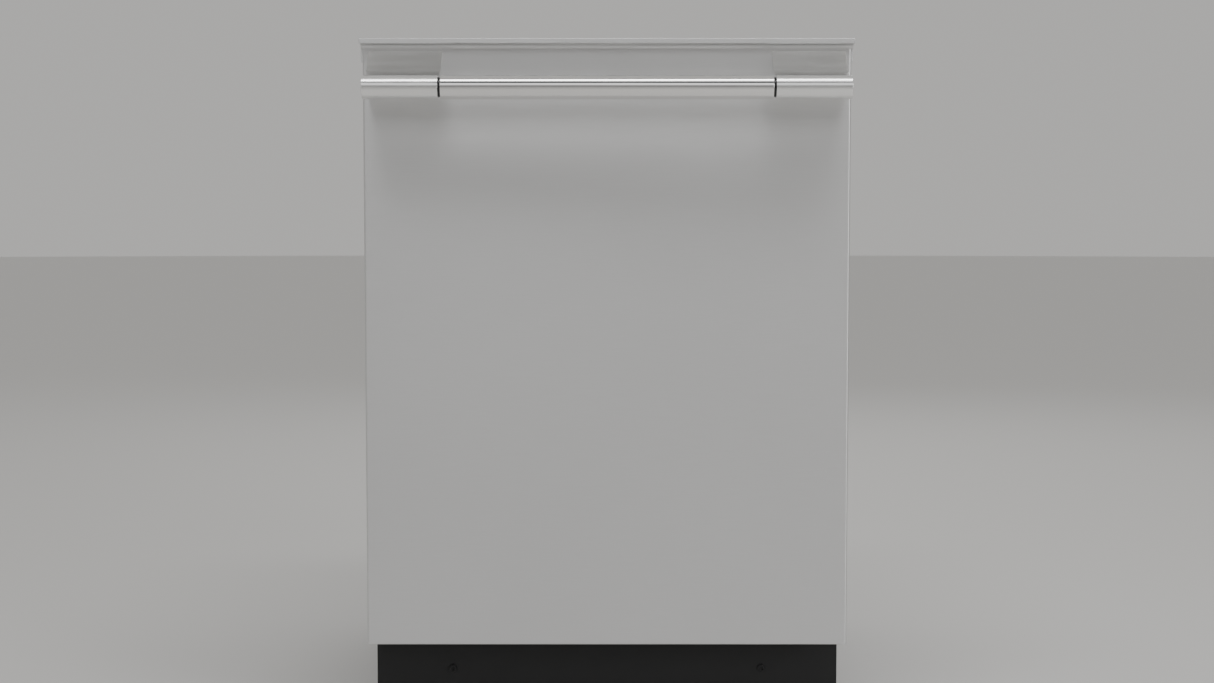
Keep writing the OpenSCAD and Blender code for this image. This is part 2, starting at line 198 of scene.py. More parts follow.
def done():
    """Leaves edit mode"""
    bpy.ops.object.mode_set(mode="OBJECT")


def round_edges(piece, test, radius, steps):
    """Rounds the edges that pass the test"""
    choose(piece, test, "edges")
    bpy.ops.mesh.bevel(offset=radius, segments=steps)
    done()


def strip_faces(piece, test):
    """Takes away the faces that pass the test"""
    choose(piece, test)
    bpy.ops.mesh.delete(type="FACE")
    done()


def work(piece, kind, **settings):
    """Adds a modifier and applies it"""
    modifier = piece.modifiers.new(kind, kind)
    for key, value in settings.items():
        setattr(modifier, key, value)
    bpy.ops.object.select_all(action="DESELECT")
    bpy.context.view_layer.objects.active = piece
    piece.select_set(True)
    bpy.ops.object.modifier_apply(modifier=modifier.name)


def soften(piece, width, segments=2, angle=35):
    """Rounds the piece's sharp edges and shades it smooth between them"""
    work(piece, "BEVEL", width=width, segments=segments, angle_limit=math.radians(angle),
         use_clamp_overlap=True, harden_normals=False)
    bpy.ops.object.shade_smooth_by_angle(angle=math.radians(angle))
    work(piece, "WEIGHTED_NORMAL", keep_sharp=True)


def fit(piece, material, finish, body, *nodes):
    """Gives a piece its material and its body, and hides the CAD nodes that it stands for"""
    piece.data.materials.clear()
    piece.data.materials.append(material)
    if nodes:
        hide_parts(*nodes)
    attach(piece, body)


def brushed(name, colour, roughness, across, along, depth, drag=0.0):
    """Steel with brush lines: across is their spacing, along is their length, in metres, and drag
    is how far they smear a reflection up and down"""
    material, shader = stock(name, Metallic=1.0, Anisotropic=drag, Anisotropic_Rotation=0.25)
    place = add(material, "ShaderNodeTexCoord", {}, {})
    scale = (1 / along, 1 / along, 1 / across)
    stretch = add(material, "ShaderNodeMapping", {"Scale": scale}, {"Vector": place.outputs["Object"]})
    lines = add(material, "ShaderNodeTexNoise", {"Scale": 1.0, "Detail": 3.0, "Roughness": 0.6},
                {"Vector": stretch.outputs["Vector"]})
    cloud = add(material, "ShaderNodeTexNoise", {"Scale": 4.0, "Detail": 1.0},
                {"Vector": place.outputs["Object"]})
    polish = add(material, "ShaderNodeMapRange",
                 {"From Min": 0.25, "From Max": 0.75, "To Min": roughness - 0.04,
                  "To Max": roughness + 0.05}, {"Value": lines.outputs["Fac"]})
    tone = add(material, "ShaderNodeMath", {"operation": "MULTIPLY", 1: 0.35},
               {0: cloud.outputs["Fac"]})
    tone_sum = add(material, "ShaderNodeMath", {"operation": "MULTIPLY_ADD", 1: 0.65},
                   {0: lines.outputs["Fac"], 2: tone.outputs["Value"]})
    tint = add(material, "ShaderNodeMix",
               {"data_type": "RGBA", 6: [c * 0.93 for c in linear(colour)[:3]] + [1],
                7: [min(1, c * 1.06) for c in linear(colour)[:3]] + [1]},
               {0: tone_sum.outputs["Value"]})
    relief = add(material, "ShaderNodeBump", {"Strength": 0.12, "Distance": depth},
                 {"Height": lines.outputs["Fac"]})
    feed(material, shader, Base_Color=tint.outputs[2], Roughness=polish.outputs["Result"],
         Normal=relief.outputs["Normal"])
    return material


# Stainless steel, number 4 brushed: neutral grey with fine level lines. Real lines stand 0.1 mm
# apart; they are drawn 1.1 mm apart so that they show at the width of the render.
brushed_stainless = brushed("stainless_steel_brushed", "#DCDCDC", 0.40, 1.1 * mm, 45 * mm, 0.03 * mm,
                            drag=0.8)

fold = 3 * mm
sheet = 1.2 * mm
door_panel = cube("door_panel", skin_low, skin_high)
strip_faces(door_panel, lambda c, n: n.y > 0.9 or n.z > 0.9)
round_edges(door_panel, lambda c, d: abs(d.z) > 0.9 and c.y < skin_low.y + sheet, fold, 6)
round_edges(door_panel, lambda c, d: abs(d.z) < 0.1 and c.z < skin_low.z + sheet
            and c.y < skin_low.y + 2 * fold, 1.2 * mm, 4)
work(door_panel, "SOLIDIFY", thickness=sheet, offset=-1, use_even_offset=True)
soften(door_panel, 0.2 * mm)
fit(door_panel, brushed_stainless, "brushed_steel", "door", "door_skin")

# Lip: a solid stainless strip along the door's top edge, with a small cove where it meets the
# panel. It is screwed to the door from behind and keeps drips off the handle.


def outline(name, start, moves):
    """A flat outline in the plane of depth and height: each move is a point to go to, or an arc
    given by its centre, its angle and its number of steps"""
    bpy.ops.object.select_all(action="DESELECT")
    bpy.ops.mesh.primitive_plane_add(size=1, location=start)
    bpy.ops.object.mode_set(mode="EDIT")
    bpy.ops.mesh.select_mode(type="VERT")
    bpy.ops.mesh.merge(type="CENTER")
    here = Vector(start)
    for move in moves:
        if len(move) == 2:
            there = Vector((here.x, move[0], move[1]))
            bpy.ops.mesh.extrude_region_move(TRANSFORM_OT_translate={"value": there - here})
            here = there
        else:
            (y, z), angle, steps = move
            centre = Vector((here.x, y, z))
            bpy.ops.mesh.spin(steps=steps, angle=-math.radians(angle), center=centre, axis=(1, 0, 0))
            arm = here - centre
            turn = math.radians(angle)
            here = centre + Vector((0, arm.y * math.cos(turn) - arm.z * math.sin(turn),
                                    arm.y * math.sin(turn) + arm.z * math.cos(turn)))
    bpy.ops.mesh.select_all(action="SELECT")
    bpy.ops.mesh.remove_doubles(threshold=0.01 * mm)
    bpy.ops.mesh.edge_face_add()
    bpy.ops.object.mode_set(mode="OBJECT")
    return settle(name)


def draw_across(piece, length):
    """Extrudes a flat outline across the machine"""
    choose(piece, lambda c, n: True)
    bpy.ops.mesh.extrude_region_move(TRANSFORM_OT_translate={"value": (length, 0, 0)})
    bpy.ops.mesh.select_all(action="SELECT")
    bpy.ops.mesh.normals_make_consistent(inside=False)
    done()


lip_low, lip_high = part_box("top_trim")
lip_under = lip_high.z - 6 * mm
cove = 5 * mm
lip_back = skin_low.y + 4 * mm
lip = outline("top_lip", (lip_low.x, lip_back, lip_high.z), [
    (lip_low.y, lip_high.z), (lip_low.y, lip_under), (skin_low.y - cove, lip_under),
    ((skin_low.y - cove, lip_under - cove), -90, 8), (skin_low.y + 1.3 * mm, lip_under - cove),
    (skin_low.y + 1.3 * mm, lip_low.z), (lip_back, lip_low.z)])
draw_across(lip, lip_high.x - lip_low.x)
soften(lip, 0.7 * mm, 3)
fit(lip, brushed_stainless, "brushed_steel", "door", "top_trim")

# Handle: a polished stainless tube between two satin end castings, with a dark spacer ring at
# each joint. Each casting's cove sweeps from the tube up to the door, where bolts hold it.


def rod(name, start, end, radius, sides=32):
    """A round bar from one point to another"""
    start, end = Vector(start), Vector(end)
    bpy.ops.object.select_all(action="DESELECT")
    bpy.ops.mesh.primitive_cylinder_add(vertices=sides, radius=radius, depth=(end - start).length,
                                        location=(start + end) / 2)
    bpy.context.object.rotation_mode = "QUATERNION"
    bpy.context.object.rotation_quaternion = (end - start).to_track_quat("Z", "Y")
    return settle(name)


# Polished 304 tube: almost a mirror, so the softboxes show as clear streaks along it
polished_stainless = brushed("stainless_steel_polished", "#F2F1F0", 0.07, 2 * mm, 120 * mm, 0.004 * mm)
# Satin end castings: turned and bead blasted, so their streaks are softer and paler
satin_stainless = brushed("stainless_steel_satin", "#F6F6F5", 0.22, 0.9 * mm, 30 * mm, 0.01 * mm)
# Gloss black ABS of the spacer rings and buttons: dark, with a faint moulded ripple
gloss_black, gloss_shader = stock("abs_gloss_black", Roughness=0.22, IOR=1.48)
gloss_place = add(gloss_black, "ShaderNodeTexCoord", {}, {})
gloss_ripple = add(gloss_black, "ShaderNodeTexNoise", {"Scale": 1 / (6 * mm), "Detail": 2.0},
                   {"Vector": gloss_place.outputs["Object"]})
gloss_tint = add(gloss_black, "ShaderNodeMix", {"data_type": "RGBA", 6: linear("#0E0E0F"),
                 7: linear("#1B1B1D")}, {0: gloss_ripple.outputs["Fac"]})
gloss_bump = add(gloss_black, "ShaderNodeBump", {"Strength": 0.05, "Distance": 0.1 * mm},
                 {"Height": gloss_ripple.outputs["Fac"]})
feed(gloss_black, gloss_shader, Base_Color=gloss_tint.outputs[2], Normal=gloss_bump.outputs["Normal"])

tube_low, tube_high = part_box("handle_tube")
tube_axis = (tube_low + tube_high) / 2
tube_r = (tube_high.z - tube_low.z) / 2
tube = rod("handle_tube_polished", (tube_low.x, tube_axis.y, tube_axis.z),
           (tube_high.x, tube_axis.y, tube_axis.z), tube_r, 128)
soften(tube, 0.8 * mm, 3)
fit(tube, polished_stainless, "polished_steel", "door", "handle_tube")

spacer_low, spacer_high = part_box("handle_spacers")
spacer_r = (spacer_high.z - spacer_low.z) / 2
rings = []
for side, x0 in (("left", spacer_low.x), ("right", tube_high.x)):
    ring = rod("spacer_" + side, (x0, tube_axis.y, tube_axis.z),
               (x0 + 2.8 * mm, tube_axis.y, tube_axis.z), spacer_r, 96)
    choose(ring, lambda c, n: abs(n.x) < 0.5)
    bpy.ops.mesh.inset(thickness=0.8 * mm, use_even_offset=True)
    bpy.ops.transform.shrink_fatten(value=-0.6 * mm)
    done()
    soften(ring, 0.2 * mm)
    rings.append(ring)
fit(rings[0], gloss_black, "gloss_black", "door", "handle_spacers")
fit(rings[1], gloss_black, "gloss_black", "door")

cove_r = 60 * mm
reach = skin_low.y - tube_axis.y
cove_end = tube_axis.z + tube_r + cove_r - math.sqrt(cove_r ** 2 - reach ** 2)
cove_angle = math.degrees(math.asin(reach / cove_r))
for side in ("left", "right"):
    node = "handle_bracket_" + side
    end_low, end_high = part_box(node)
    casting = outline("handle_end_" + side, (end_low.x, tube_axis.y, tube_axis.z + tube_r), [
        ((tube_axis.y, tube_axis.z), 180, 48), (skin_low.y, tube_axis.z - 6 * mm),
        (skin_low.y, cove_end), ((tube_axis.y, tube_axis.z + tube_r + cove_r), -cove_angle, 32)])
    draw_across(casting, end_high.x - end_low.x)
    soften(casting, 0.8 * mm, 3, 30)
    fit(casting, satin_stainless, "satin_steel", "door", node)

# Inner door: a deep-drawn stainless pan that closes the tub. Two fields are pressed in a little
# to stiffen it, and a row of screws up each side holds it to the hinge arms.


def recast(node, name, edge, segments=2):
    """A copy of a CAD piece: its triangles merged into flat faces and its sharp edges rounded"""
    piece = bpy.data.objects.new(name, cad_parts[node].data.copy())
    bpy.context.scene.collection.objects.link(piece)
    choose(piece, lambda c, n: True)
    bpy.ops.mesh.customdata_custom_splitnormals_clear()
    bpy.ops.mesh.remove_doubles(threshold=0.02 * mm)
    bpy.ops.mesh.dissolve_limited(angle_limit=math.radians(2))
    done()
    if edge:
        soften(piece, edge, segments)
    return piece


def recess(piece, test, margin, step, **how):
    """Insets the faces that pass the test and moves the field inside the margin by a step"""
    choose(piece, test)
    bpy.ops.mesh.inset(thickness=margin, **how)
    bpy.ops.transform.translate(value=step)
    done()


def join(name, pieces):
    """Joins pieces of one body and one finish into one"""
    bpy.ops.object.select_all(action="DESELECT")
    for piece in pieces:
        piece.select_set(True)
    bpy.context.view_layer.objects.active = pieces[0]
    bpy.ops.object.join()
    return settle(name)


def screw(name, head, towards, radius=4 * mm):
    """A pan-head screw with a cross recess: head is the middle of its seat"""
    head, towards = Vector(head), Vector(towards)
    top = head + towards * radius * 0.55
    piece = rod(name, head, top, radius, 16)
    choose(piece, lambda c, n: n.dot(towards) > 0.9)
    bpy.ops.mesh.inset(thickness=radius * 0.5)
    bpy.ops.mesh.extrude_region_move(TRANSFORM_OT_translate={"value": towards * radius * -0.4})
    done()
    soften(piece, radius * 0.16)
    return piece


# Drawn stainless of the tub and liner: rolled bright, so reflections are soft but clear
drawn_stainless = brushed("stainless_steel_drawn", "#DEDEDC", 0.27, 2 * mm, 25 * mm, 0.008 * mm)
# Bright zinc plate on the brackets, frame and screws: bluish grey with a faint mottle
zinc_plate = brushed("steel_zinc_plated", "#A9ADB0", 0.38, 14 * mm, 14 * mm, 0.02 * mm)

liner_low, liner_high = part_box("inner_door")
dispenser_low, dispenser_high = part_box("dispenser_body")
margin = 48 * mm
field_x = liner_high.x - margin
fields = ((liner_low.z + margin, dispenser_low.z - 14 * mm),
          (dispenser_high.z + 14 * mm, liner_high.z - margin))
press = 2 * mm
liner = recast("inner_door", "inner_door_liner", 0)
cuts = [((x, 0, 0), (1, 0, 0)) for x in (-field_x, field_x)]
cuts += [((0, 0, z), (0, 0, 1)) for field in fields for z in field]
for place, normal in cuts:
    choose(liner, lambda c, n: abs(n.y) > 0.9 and c.y > liner_high.y - 1.5 * mm)
    bpy.ops.mesh.bisect(plane_co=place, plane_no=normal)
    done()
recess(liner, lambda c, n: abs(n.y) > 0.9 and c.y > liner_high.y - 1.5 * mm and abs(c.x) < field_x
       and any(low < c.z < high for low, high in fields), 0.8 * press, (0, -press, 0))
soften(liner, 0.6 * mm, 3)
fit(liner, drawn_stainless, "tub_steel", "door", "inner_door")

liner_screws = []
for row in range(6):
    for side in (-1, 1):
        seat = (side * (liner_high.x - 12 * mm), liner_high.y, liner_low.z + (60 + 125 * row) * mm)
        liner_screws.append(screw("liner_screw", seat, (0, 1, 0), 2.6 * mm))
fit(join("liner_screws", liner_screws), zinc_plate, "zinc_steel", "door")

# Door padding: a needled cotton pad between the two skins. It deadens the sound of the spray.


def moulded(name, dark, pale, roughness, grain, depth):
    """A moulded plastic or rubber with the fine spark texture of its tool"""
    material, shader = stock(name, Roughness=roughness, IOR=1.47)
    place = add(material, "ShaderNodeTexCoord", {}, {})
    spark = add(material, "ShaderNodeTexNoise", {"Scale": 1 / grain, "Detail": 3.0, "Roughness": 0.7},
                {"Vector": place.outputs["Object"]})
    flow = add(material, "ShaderNodeTexNoise", {"Scale": 1 / (90 * mm), "Detail": 2.0},
               {"Vector": place.outputs["Object"]})
    tint = add(material, "ShaderNodeMix", {"data_type": "RGBA", 6: linear(dark), 7: linear(pale)},
               {0: flow.outputs["Fac"]})
    gloss = add(material, "ShaderNodeMapRange",
                {"To Min": roughness - 0.06, "To Max": roughness + 0.08}, {"Value": spark.outputs["Fac"]})
    relief = add(material, "ShaderNodeBump", {"Strength": 0.3, "Distance": depth},
                 {"Height": spark.outputs["Fac"]})
    feed(material, shader, Base_Color=tint.outputs[2], Roughness=gloss.outputs["Result"],
         Normal=relief.outputs["Normal"])
    return material


def quilt(piece, cuts, seam, rise):
    """Cuts a pad into cells, leaves a stitched channel between them and lets each cell puff up"""
    choose(piece, lambda c, n: True)
    bpy.ops.mesh.subdivide(number_cuts=cuts)
    bpy.ops.mesh.select_all(action="DESELECT")
    bpy.ops.mesh.edges_select_sharp(sharpness=math.radians(60))
    bpy.ops.transform.edge_crease(value=0.8)
    bpy.ops.mesh.select_all(action="SELECT")
    bpy.ops.mesh.inset(thickness=seam, use_individual=True)
    bpy.ops.transform.shrink_fatten(value=rise)
    bpy.ops.mesh.select_mode(type="VERT")
    bpy.ops.mesh.select_all(action="DESELECT")
    mesh = bmesh.from_edit_mesh(piece.data)
    for corner in mesh.verts:
        rim = [(edge.other_vert(corner).co - corner.co).normalized() for edge in corner.link_edges
               if edge.is_boundary]
        corner.select_set(len(rim) == 2 and abs(rim[0].dot(rim[1])) < 0.7)
    bmesh.update_edit_mesh(piece.data)
    bpy.ops.transform.vert_crease(value=1)
    done()
    work(piece, "SUBSURF", levels=2, render_levels=2)
    bpy.ops.object.shade_smooth()


# Needled cotton felt: flecked grey fibres, quite matt. The flecks are drawn 3 mm long.
felt, felt_shader = stock("cotton_felt_needled", Roughness=0.95)
felt_shader.inputs["Sheen Weight"].default_value = 0.25
felt_place = add(felt, "ShaderNodeTexCoord", {}, {})
felt_fleck = add(felt, "ShaderNodeTexNoise", {"Scale": 1 / (3 * mm), "Detail": 4.0, "Roughness": 0.8},
                 {"Vector": felt_place.outputs["Object"]})
felt_cloud = add(felt, "ShaderNodeTexNoise", {"Scale": 1 / (60 * mm), "Detail": 2.0},
                 {"Vector": felt_place.outputs["Object"]})
felt_wash = add(felt, "ShaderNodeMath", {"operation": "MULTIPLY", 1: 0.25}, {0: felt_cloud.outputs["Fac"]})
felt_mixed = add(felt, "ShaderNodeMath", {"operation": "MULTIPLY_ADD", 1: 0.95},
                 {0: felt_fleck.outputs["Fac"], 2: felt_wash.outputs["Value"]})
felt_steps = add(felt, "ShaderNodeMapRange", {"From Min": 0.2, "From Max": 1.0},
                 {"Value": felt_mixed.outputs["Value"]})
felt_tint = add(felt, "ShaderNodeMix", {"data_type": "RGBA", 6: linear("#3E4046"), 7: linear("#8B8A88")},
                {0: felt_steps.outputs["Result"]})
felt_relief = add(felt, "ShaderNodeBump", {"Strength": 0.7, "Distance": 0.6 * mm},
                  {"Height": felt_fleck.outputs["Fac"]})
feed(felt, felt_shader, Base_Color=felt_tint.outputs[2], Normal=felt_relief.outputs["Normal"])

pad_low, pad_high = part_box("door_insulation")
pad_puff = 2 * mm
door_pad = cube("door_padding", pad_low + Vector((pad_puff,) * 3), pad_high - Vector((pad_puff,) * 3))
quilt(door_pad, 6, 6 * mm, pad_puff * 0.8)
fit(door_pad, felt, "felt", "door", "door_insulation")

# Control housing: black ABS along the door's top edge. It holds four buttons and a smoked
# window over the status lamps, all out of sight while the door is shut.


def stand_in(node, name, edge, material, finish, body, segments=2):
    """A recast CAD piece, finished and fitted in the place of its node"""
    fit(recast(node, name, edge, segments), material, finish, body, node)


# Black ABS: satin near black, with the faint sparkle of a spark-cut tool
black_abs = moulded("abs_black_textured", "#141415", "#1E1E20", 0.5, 0.8 * mm, 0.05 * mm)
stand_in("control_fascia", "control_housing", 0.8 * mm, black_abs, "black_plastic", "door")
fascia_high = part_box("control_fascia")[1]

# Smoked acrylic: a glossy near black with a slight haze, so the lamps behind it stay hidden
smoked, smoked_shader = stock("acrylic_smoked", Roughness=0.06, IOR=1.49)
smoked_place = add(smoked, "ShaderNodeTexCoord", {}, {})
smoked_haze = add(smoked, "ShaderNodeTexNoise", {"Scale": 1 / (20 * mm)},
                  {"Vector": smoked_place.outputs["Object"]})
smoked_tint = add(smoked, "ShaderNodeMix", {"data_type": "RGBA", 6: linear("#08090B"), 7: linear("#12151A")},
                  {0: smoked_haze.outputs["Fac"]})
feed(smoked, smoked_shader, Base_Color=smoked_tint.outputs[2])
button_low, button_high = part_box("button_power")
window_high = Vector((60 * mm, button_high.y, fascia_high.z + 0.4 * mm))
window = cube("status_window", (-130 * mm, button_low.y, fascia_high.z - 0.6 * mm), window_high)
recess(window, lambda c, n: n.z > 0.9, 1 * mm, (0, 0, -0.2 * mm))
soften(window, 0.2 * mm)
fit(window, smoked, "gloss_black", "door")

for button in ("power", "program", "option", "start"):
    node = "button_" + button
    cap_low, cap_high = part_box(node)
    cap = cube("cap_" + button, cap_low, cap_high)
    choose(cap, lambda c, n: n.z > 0.9)
    bpy.ops.mesh.inset(thickness=1.6 * mm)
    bpy.ops.transform.translate(value=(0, 0, -0.35 * mm))
    bpy.ops.mesh.inset(thickness=1.5 * mm)
    done()
    soften(cap, 0.35 * mm, 3)
    fit(cap, gloss_black, "gloss_black", node + "_body", node)

# Latch and strike: a nylon catch in the housing closes on a plated steel tongue on the tub.

# Dark grey polypropylene: dull, with soft clouds where the melt has flowed
dark_pp = moulded("polypropylene_dark_grey", "#232426", "#2F3033", 0.55, 1.2 * mm, 0.06 * mm)
stand_in("door_latch", "latch_catch", 0.6 * mm, dark_pp, "base_plastic", "door")
stand_in("door_strike", "latch_tongue", 0.5 * mm, zinc_plate, "zinc_steel", "chassis")

# Detergent dispenser: a grey moulding clipped into the liner, with a pale lid that slides off
# the tablet cup and a bayonet cap over the rinse-aid tank.

# Grey and pale polypropylene: mid grey, and a light grey for what a hand moves; both satin
grey_pp = moulded("polypropylene_grey", "#6B6F73", "#7C8084", 0.45, 1.0 * mm, 0.05 * mm)
pale_pp = moulded("polypropylene_pale", "#B4B7B9", "#C6C8C9", 0.4, 1.0 * mm, 0.04 * mm)
stand_in("dispenser_body", "dispenser_moulding", 1.2 * mm, grey_pp, "grey_plastic", "door", segments=3)
lid = recast("dispenser_lid", "dispenser_sliding_lid", 0.7 * mm, 3)
lid_low, lid_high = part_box("dispenser_lid")
ribs = [lid]
for step in range(5):
    x = lid_low.x + (12 + step * 5) * mm
    rib = cube("lid_rib", (x, lid_low.y + 2 * mm, lid_low.z + 22 * mm),
               (x + 2 * mm, lid_low.y + 3.4 * mm, lid_high.z - 22 * mm))
    soften(rib, 0.5 * mm)
    ribs.append(rib)
fit(join("dispenser_sliding_lid", ribs), pale_pp, "pale_plastic", "dispenser_lid_body", "dispenser_lid")

cap_low, cap_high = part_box("rinse_aid_cap")
rinse_cap = recast("rinse_aid_cap", "rinse_cap", 0.8 * mm, 3)
cap_middle = (cap_low + cap_high) / 2
notches = [rinse_cap]
for step in range(24):
    turn = math.radians(15 * step)
    at = cap_middle + Vector((math.cos(turn), 0, math.sin(turn))) * 20.2 * mm
    notches.append(rod("cap_notch", (at.x, cap_high.y - 6 * mm, at.z), (at.x, cap_high.y - 3 * mm, at.z),
                       0.8 * mm, 8))
fit(join("rinse_cap", notches), black_abs, "black_plastic", "rinse_cap_body", "rinse_aid_cap")

# Door seal and tub gasket: extruded EPDM. The gasket is pushed on to the tub's flange up one
# side, across the top and down the other; the seal closes the gap at the sill.

# EPDM: dull rubber black with an extruded skin
epdm = moulded("epdm_extruded", "#17181A", "#202123", 0.62, 2 * mm, 0.05 * mm)
sill_seal = recast("door_seal", "sill_seal", 1.4 * mm, 3)
recess(sill_seal, lambda c, n: n.y > 0.95, 2.5 * mm, (0, -1.5 * mm, 0))
fit(sill_seal, epdm, "black_rubber", "door", "door_seal")
gasket = recast("tub_gasket", "tub_mouth_gasket", 1.6 * mm, 3)
recess(gasket, lambda c, n: n.y < -0.95, 1.6 * mm, (0, 1.4 * mm, 0), use_even_offset=True)
fit(gasket, epdm, "black_rubber", "chassis", "tub_gasket")

# Hinges: a plated arm up each side of the door turns on a pin in a bracket from the base.
# Each pin has a retaining ring near its outer end; the springs in the base balance the door.

stand_in("hinge_arms", "hinge_arm_pair", 0.5 * mm, zinc_plate, "zinc_steel", "door")
stand_in("hinge_brackets", "hinge_bracket_pair", 0.5 * mm, zinc_plate, "zinc_steel", "chassis")
pin_low, pin_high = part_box("hinge_pins")
pin_axis = (pin_low + pin_high) / 2
pin_r = (pin_high.z - pin_low.z) / 2
pins = [recast("hinge_pins", "hinge_pin_pair", 0.4 * mm)]
for side in (-1, 1):
    outer = side * (pin_high.x - 0.5 * mm)
    pins.append(rod("pin_ring", (outer - side * 1.2 * mm, pin_axis.y, pin_axis.z),
                    (outer - side * 0.4 * mm, pin_axis.y, pin_axis.z), pin_r * 1.4, 24))
fit(join("hinge_pin_pair", pins), zinc_plate, "zinc_steel", "chassis", "hinge_pins")

spring_low, spring_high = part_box("door_springs")
spring_r = (spring_high.z - spring_low.z) / 2
coil_wire_r = 1.6 * mm
coil_pitch = 5 * mm
coil_length = 220 * mm
springs = []
for side in (-1, 1):
    axis_x = side * (spring_high.x - spring_r)
    axis_z = spring_low.z + spring_r
    bpy.ops.object.select_all(action="DESELECT")
    bpy.ops.mesh.primitive_circle_add(vertices=8, radius=coil_wire_r,
                                      location=(spring_r - coil_wire_r, 0, 0), rotation=(math.pi / 2, 0, 0))
    coil = settle("spring_coil")
    work(coil, "SCREW", axis="Z", angle=math.tau, screw_offset=coil_pitch, steps=16, render_steps=16,
         iterations=int(coil_length / coil_pitch))
    coil.data.transform(Matrix.Translation((axis_x, spring_low.y, axis_z))
                        @ Matrix.Rotation(-math.pi / 2, 4, "X"))
    springs.append(coil)
    springs.append(rod("spring_rod", (axis_x, spring_low.y + coil_length - 6 * mm, axis_z),
                       (axis_x, spring_high.y, axis_z), 2 * mm, 16))
fit(join("door_spring_pair", springs), zinc_plate, "zinc_steel", "chassis", "door_springs")

# Tub: one sheet of stainless, drawn deep, with wide corners, a pressed field on each side that
# stiffens it, a round hole for the sump and a flange at its mouth that carries the gasket.

tub_low, tub_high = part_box("tub")
tub_middle = (tub_low + tub_high) / 2
flange = 12 * mm
back_inside = tub_high.y - sheet
drawn_r = 8 * mm
tub = recast("tub", "drawn_tub", 0)
round_edges(tub, lambda c, d: abs(d.y) < 0.1 and abs(c.y - back_inside) < 0.2 * mm, drawn_r, 5)
choose(tub, lambda c, n: abs(n.x) > 0.95 and abs(c.z - tub_middle.z) < 60 * mm
       and abs(c.x) < tub_high.x - flange - sheet / 2)
bpy.ops.mesh.inset(thickness=70 * mm)
bpy.ops.mesh.inset(thickness=5 * mm)
bpy.ops.transform.shrink_fatten(value=1.2 * mm)
done()
soften(tub, 0.4 * mm)
fit(tub, drawn_stainless, "tub_steel", "chassis", "tub")

# Insulation blanket: quilted cotton felt wrapped over the tub's top, sides and back, and held
# by two flat polypropylene bands that clip to the base.

blanket_low, blanket_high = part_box("insulation_blanket")
base_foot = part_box("base_frame")[1].z - 14 * mm
blanket_puff = 3 * mm
blanket_thick = 11 * mm
blanket = cube("insulation_blanket_felt", blanket_low + Vector((blanket_puff, 0, 0)),
               blanket_high - Vector((blanket_puff,) * 3))
strip_faces(blanket, lambda c, n: n.y < -0.9 or n.z < -0.9)
quilt(blanket, 5, 9 * mm, blanket_puff * 0.9)
work(blanket, "SOLIDIFY", thickness=blanket_thick, offset=-1)
fit(blanket, felt, "felt", "chassis", "insulation_blanket")

band_wide = 16 * mm
band_thick = 1 * mm
for index, y in enumerate((-70 * mm, 220 * mm)):
    band_x = blanket_high.x + band_thick
    top = blanket_high.z + band_thick
    band = cube("blanket_band_" + str(index), (-band_x, y, base_foot), (band_x, y + band_wide, top))
    strip_faces(band, lambda c, n: abs(n.y) > 0.9 or n.z < -0.9)
    round_edges(band, lambda c, d: abs(d.y) > 0.9 and c.z > top - 1 * mm, 6 * mm, 4)
    work(band, "SOLIDIFY", thickness=band_thick, offset=-1)
    bpy.ops.object.shade_smooth_by_angle(angle=math.radians(40))
    fit(band, pale_pp, "pale_plastic", "chassis")

# Front frame and fixing tabs: plated sheet steel bent round the tub's mouth, with two tabs
# that take screws up into the worktop.

stand_in("front_frame", "mouth_frame", 0.5 * mm, zinc_plate, "zinc_steel", "chassis")
stand_in("mounting_brackets", "worktop_tabs", 0.4 * mm, zinc_plate, "zinc_steel", "chassis")
frame_low, frame_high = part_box("front_frame")
frame_screws = []
for side in (-1, 1):
    for row in range(4):
        seat = (side * (frame_high.x - 6 * mm), frame_low.y, frame_low.z + (110 + row * 180) * mm)
        frame_screws.append(screw("frame_screw", seat, (0, -1, 0), 3 * mm))
fit(join("frame_screws", frame_screws), zinc_plate, "zinc_steel", "chassis")

# Base: dark grey polypropylene walls that carry the tub and hide the pumps. Upright ribs on
# each side stiffen it.

base_low, base_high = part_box("base_frame")
base_parts = [recast("base_frame", "base_tray", 0.8 * mm)]
for step in range(5):
    y = base_low.y + (70 + step * 90) * mm
    for side in (-1, 1):
        flat = side * base_high.x
        base_parts.append(cube("base_rib", (min(flat, flat + side * 2 * mm), y, base_low.z + 18 * mm),
                               (max(flat, flat + side * 2 * mm), y + 5 * mm, base_high.z - 20 * mm)))
        soften(base_parts[-1], 0.9 * mm, 3)
fit(join("base_tray", base_parts), dark_pp, "base_plastic", "chassis", "base_frame")

# Kickplate: folded sheet, powder coated matt black, with two countersunk screws.

# Black powder coat: satin black with a slight orange peel
black_powder = moulded("powder_coat_black", "#0F0F10", "#171718", 0.55, 1.6 * mm, 0.05 * mm)
stand_in("kickplate", "toe_kickplate", 0.5 * mm, black_powder, "black_paint", "chassis")
kick_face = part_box("kickplate")[0].y
kick_screws = [screw("kick_screw", (side * 200 * mm, kick_face, 60 * mm), (0, -1, 0), 5 * mm)
               for side in (-1, 1)]
fit(join("kick_screws", kick_screws), black_powder, "black_paint", "chassis")

# Levelling legs: a moulded foot with a hex collar on an M10 screw. The screw's thread is
# drawn as rings, a pitch apart.

for corner in ("front_left", "front_right", "rear_left", "rear_right"):
    node = "leg_" + corner
    leg_low, leg_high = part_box(node)
    middle = (leg_low + leg_high) / 2
    parts = [recast(node, "foot_" + corner, 0.8 * mm, 3)]
    for turn in range(22):
        z = 10 * mm + turn * 1.5 * mm
        if not 21 * mm < z < 31 * mm:
            thread = rod("leg_thread", (middle.x, middle.y, z), (middle.x, middle.y, z + 0.8 * mm),
                         5.5 * mm, 24)
            parts.append(thread)
    fit(join("foot_" + corner, parts), dark_pp, "base_plastic", node + "_body", node)

